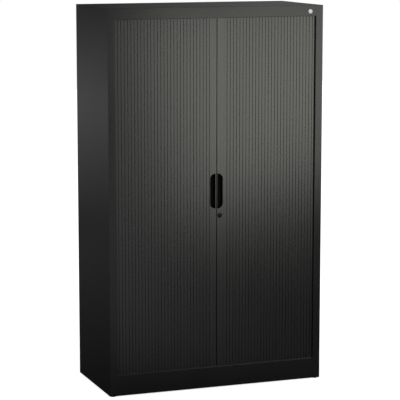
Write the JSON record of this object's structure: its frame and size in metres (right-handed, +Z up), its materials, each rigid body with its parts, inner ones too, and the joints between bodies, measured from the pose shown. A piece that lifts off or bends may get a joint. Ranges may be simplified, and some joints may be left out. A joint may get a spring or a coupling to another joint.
{
  "type": "tambour door cabinet",
  "caption": "Free-standing steel office cupboard with two ribbed tambour curtains that slide round the corners, a lock, finger cups, shelves and levelling feet.",
  "frame": {"origin": "on the floor under the middle of the cupboard", "axes": "+Z up, +Y towards the back, +X to the right seen from the front"},
  "size_m": [1, 0.47, 1.695],
  "materials": {
    "powder_coated_steel": "satin powder coat with a fine texture",
    "curtain_plastic": "extruded rigid plastic, satin",
    "cup_plastic": "moulded, fine spark-eroded grain",
    "track_plastic": "extruded, smooth, worn along the groove",
    "plated_lock_metal": "nickel plate, satin",
    "zinc_plated_steel": "bright zinc plate",
    "foot_plastic": "moulded"
  },
  "bodies": {
    "root": {"side_panel_left": "powder_coated_steel", "side_panel_right": "powder_coated_steel", "top_panel": "powder_coated_steel", "back_panel": "powder_coated_steel", "top_fascia": "powder_coated_steel", "kick_panel": "powder_coated_steel", "floor_panel": "powder_coated_steel", "head_panel": "powder_coated_steel", "base_rail_left": "powder_coated_steel", "base_rail_right": "powder_coated_steel", "liner_left": "powder_coated_steel", "liner_right": "powder_coated_steel", "bottom_track_left": "track_plastic", "bottom_track_right": "track_plastic", "top_track_left": "track_plastic", "top_track_right": "track_plastic", "shelf_1": "powder_coated_steel", "shelf_ledge_1_left": "zinc_plated_steel", "shelf_ledge_1_right": "zinc_plated_steel", "shelf_2": "powder_coated_steel", "shelf_ledge_2_left": "zinc_plated_steel", "shelf_ledge_2_right": "zinc_plated_steel", "shelf_3": "powder_coated_steel", "shelf_ledge_3_left": "zinc_plated_steel", "shelf_ledge_3_right": "zinc_plated_steel", "front_badge": "plated_lock_metal"},
    "left_curtain": {"lead_stile_left": "curtain_plastic", "finger_cup_left": "cup_plastic", "lock_keeper": "zinc_plated_steel"},
    "right_curtain": {"lead_stile_right": "curtain_plastic", "finger_cup_right": "cup_plastic", "lock_housing": "plated_lock_metal", "lock_nut": "zinc_plated_steel"},
    "lock": {"lock_barrel": "plated_lock_metal", "lock_hook": "zinc_plated_steel"},
    "foot_front_left": {"levelling_foot_front_left": "foot_plastic"},
    "foot_front_right": {"levelling_foot_front_right": "foot_plastic"},
    "foot_back_left": {"levelling_foot_back_left": "foot_plastic"},
    "foot_back_right": {"levelling_foot_back_right": "foot_plastic"},
    "slat_left_01": {"curtain_slat_left_01": "curtain_plastic"},
    "slat_left_02": {"curtain_slat_left_02": "curtain_plastic"},
    "slat_left_03": {"curtain_slat_left_03": "curtain_plastic"},
    "slat_left_04": {"curtain_slat_left_04": "curtain_plastic"},
    "slat_left_05": {"curtain_slat_left_05": "curtain_plastic"},
    "slat_left_06": {"curtain_slat_left_06": "curtain_plastic"},
    "slat_left_07": {"curtain_slat_left_07": "curtain_plastic"},
    "slat_left_08": {"curtain_slat_left_08": "curtain_plastic"},
    "slat_left_09": {"curtain_slat_left_09": "curtain_plastic"},
    "slat_left_10": {"curtain_slat_left_10": "curtain_plastic"},
    "slat_right_01": {"curtain_slat_right_01": "curtain_plastic"},
    "slat_right_02": {"curtain_slat_right_02": "curtain_plastic"},
    "slat_right_03": {"curtain_slat_right_03": "curtain_plastic"},
    "slat_right_04": {"curtain_slat_right_04": "curtain_plastic"},
    "slat_right_05": {"curtain_slat_right_05": "curtain_plastic"},
    "slat_right_06": {"curtain_slat_right_06": "curtain_plastic"},
    "slat_right_07": {"curtain_slat_right_07": "curtain_plastic"},
    "slat_right_08": {"curtain_slat_right_08": "curtain_plastic"},
    "slat_right_09": {"curtain_slat_right_09": "curtain_plastic"},
    "slat_right_10": {"curtain_slat_right_10": "curtain_plastic"}
  },
  "joints": [
    {"name": "left_curtain_slide", "type": "slide", "parent": "root", "child": "left_curtain", "axis": [-1, 0, 0], "range_m": [0, 0.4257]},
    {"name": "right_curtain_slide", "type": "slide", "parent": "root", "child": "right_curtain", "axis": [1, 0, 0], "range_m": [0, 0.4257]},
    {"name": "lock_turn", "type": "hinge", "parent": "right_curtain", "child": "lock", "pos_m": [0.014, -0.226, 0.778], "axis": [0, 1, 0], "range_deg": [0, 90]},
    {"name": "foot_front_left_screw", "type": "slide", "parent": "root", "child": "foot_front_left", "axis": [0, 0, -1], "range_m": [-0.004, 0.012]},
    {"name": "foot_front_right_screw", "type": "slide", "parent": "root", "child": "foot_front_right", "axis": [0, 0, -1], "range_m": [-0.004, 0.012]},
    {"name": "foot_back_left_screw", "type": "slide", "parent": "root", "child": "foot_back_left", "axis": [0, 0, -1], "range_m": [-0.004, 0.012]},
    {"name": "foot_back_right_screw", "type": "slide", "parent": "root", "child": "foot_back_right", "axis": [0, 0, -1], "range_m": [-0.004, 0.012]},
    {"name": "slat_left_01_slide", "type": "slide", "parent": "root", "child": "slat_left_01", "axis": [-1, 0, 0], "range_m": [0, 0.42625], "deforming": ["curtain_slat_left_01"]},
    {"name": "slat_left_02_slide", "type": "slide", "parent": "root", "child": "slat_left_02", "axis": [-1, 0, 0], "range_m": [0, 0.38125], "deforming": ["curtain_slat_left_02"]},
    {"name": "slat_left_03_slide", "type": "slide", "parent": "root", "child": "slat_left_03", "axis": [-1, 0, 0], "range_m": [0, 0.33625], "deforming": ["curtain_slat_left_03"]},
    {"name": "slat_left_04_slide", "type": "slide", "parent": "root", "child": "slat_left_04", "axis": [-1, 0, 0], "range_m": [0, 0.29125], "deforming": ["curtain_slat_left_04"]},
    {"name": "slat_left_05_slide", "type": "slide", "parent": "root", "child": "slat_left_05", "axis": [-1, 0, 0], "range_m": [0, 0.24625], "deforming": ["curtain_slat_left_05"]},
    {"name": "slat_left_06_slide", "type": "slide", "parent": "root", "child": "slat_left_06", "axis": [-1, 0, 0], "range_m": [0, 0.20125], "deforming": ["curtain_slat_left_06"]},
    {"name": "slat_left_07_slide", "type": "slide", "parent": "root", "child": "slat_left_07", "axis": [-1, 0, 0], "range_m": [0, 0.15625], "deforming": ["curtain_slat_left_07"]},
    {"name": "slat_left_08_slide", "type": "slide", "parent": "root", "child": "slat_left_08", "axis": [-1, 0, 0], "range_m": [0, 0.11125], "deforming": ["curtain_slat_left_08"]},
    {"name": "slat_left_09_slide", "type": "slide", "parent": "root", "child": "slat_left_09", "axis": [-1, 0, 0], "range_m": [0, 0.06625], "deforming": ["curtain_slat_left_09"]},
    {"name": "slat_left_10_slide", "type": "slide", "parent": "root", "child": "slat_left_10", "axis": [-1, 0, 0], "range_m": [0, 0.02125], "deforming": ["curtain_slat_left_10"]},
    {"name": "slat_right_01_slide", "type": "slide", "parent": "root", "child": "slat_right_01", "axis": [1, 0, 0], "range_m": [0, 0.42625], "deforming": ["curtain_slat_right_01"]},
    {"name": "slat_right_02_slide", "type": "slide", "parent": "root", "child": "slat_right_02", "axis": [1, 0, 0], "range_m": [0, 0.38125], "deforming": ["curtain_slat_right_02"]},
    {"name": "slat_right_03_slide", "type": "slide", "parent": "root", "child": "slat_right_03", "axis": [1, 0, 0], "range_m": [0, 0.33625], "deforming": ["curtain_slat_right_03"]},
    {"name": "slat_right_04_slide", "type": "slide", "parent": "root", "child": "slat_right_04", "axis": [1, 0, 0], "range_m": [0, 0.29125], "deforming": ["curtain_slat_right_04"]},
    {"name": "slat_right_05_slide", "type": "slide", "parent": "root", "child": "slat_right_05", "axis": [1, 0, 0], "range_m": [0, 0.24625], "deforming": ["curtain_slat_right_05"]},
    {"name": "slat_right_06_slide", "type": "slide", "parent": "root", "child": "slat_right_06", "axis": [1, 0, 0], "range_m": [0, 0.20125], "deforming": ["curtain_slat_right_06"]},
    {"name": "slat_right_07_slide", "type": "slide", "parent": "root", "child": "slat_right_07", "axis": [1, 0, 0], "range_m": [0, 0.15625], "deforming": ["curtain_slat_right_07"]},
    {"name": "slat_right_08_slide", "type": "slide", "parent": "root", "child": "slat_right_08", "axis": [1, 0, 0], "range_m": [0, 0.11125], "deforming": ["curtain_slat_right_08"]},
    {"name": "slat_right_09_slide", "type": "slide", "parent": "root", "child": "slat_right_09", "axis": [1, 0, 0], "range_m": [0, 0.06625], "deforming": ["curtain_slat_right_09"]},
    {"name": "slat_right_10_slide", "type": "slide", "parent": "root", "child": "slat_right_10", "axis": [1, 0, 0], "range_m": [0, 0.02125], "deforming": ["curtain_slat_right_10"]}
  ],
  "couplings": [
    {"joint": "slat_left_01_slide", "follows": "left_curtain_slide", "ratio": 1.0001},
    {"joint": "slat_left_02_slide", "follows": "left_curtain_slide", "ratio": 0.89441},
    {"joint": "slat_left_03_slide", "follows": "left_curtain_slide", "ratio": 0.7887},
    {"joint": "slat_left_04_slide", "follows": "left_curtain_slide", "ratio": 0.68299},
    {"joint": "slat_left_05_slide", "follows": "left_curtain_slide", "ratio": 0.57728},
    {"joint": "slat_left_06_slide", "follows": "left_curtain_slide", "ratio": 0.47158},
    {"joint": "slat_left_07_slide", "follows": "left_curtain_slide", "ratio": 0.36587},
    {"joint": "slat_left_08_slide", "follows": "left_curtain_slide", "ratio": 0.26016},
    {"joint": "slat_left_09_slide", "follows": "left_curtain_slide", "ratio": 0.15445},
    {"joint": "slat_left_10_slide", "follows": "left_curtain_slide", "ratio": 0.04874},
    {"joint": "slat_right_01_slide", "follows": "right_curtain_slide", "ratio": 1.0001},
    {"joint": "slat_right_02_slide", "follows": "right_curtain_slide", "ratio": 0.89441},
    {"joint": "slat_right_03_slide", "follows": "right_curtain_slide", "ratio": 0.7887},
    {"joint": "slat_right_04_slide", "follows": "right_curtain_slide", "ratio": 0.68299},
    {"joint": "slat_right_05_slide", "follows": "right_curtain_slide", "ratio": 0.57728},
    {"joint": "slat_right_06_slide", "follows": "right_curtain_slide", "ratio": 0.47158},
    {"joint": "slat_right_07_slide", "follows": "right_curtain_slide", "ratio": 0.36587},
    {"joint": "slat_right_08_slide", "follows": "right_curtain_slide", "ratio": 0.26016},
    {"joint": "slat_right_09_slide", "follows": "right_curtain_slide", "ratio": 0.15445},
    {"joint": "slat_right_10_slide", "follows": "right_curtain_slide", "ratio": 0.04874}
  ]
}
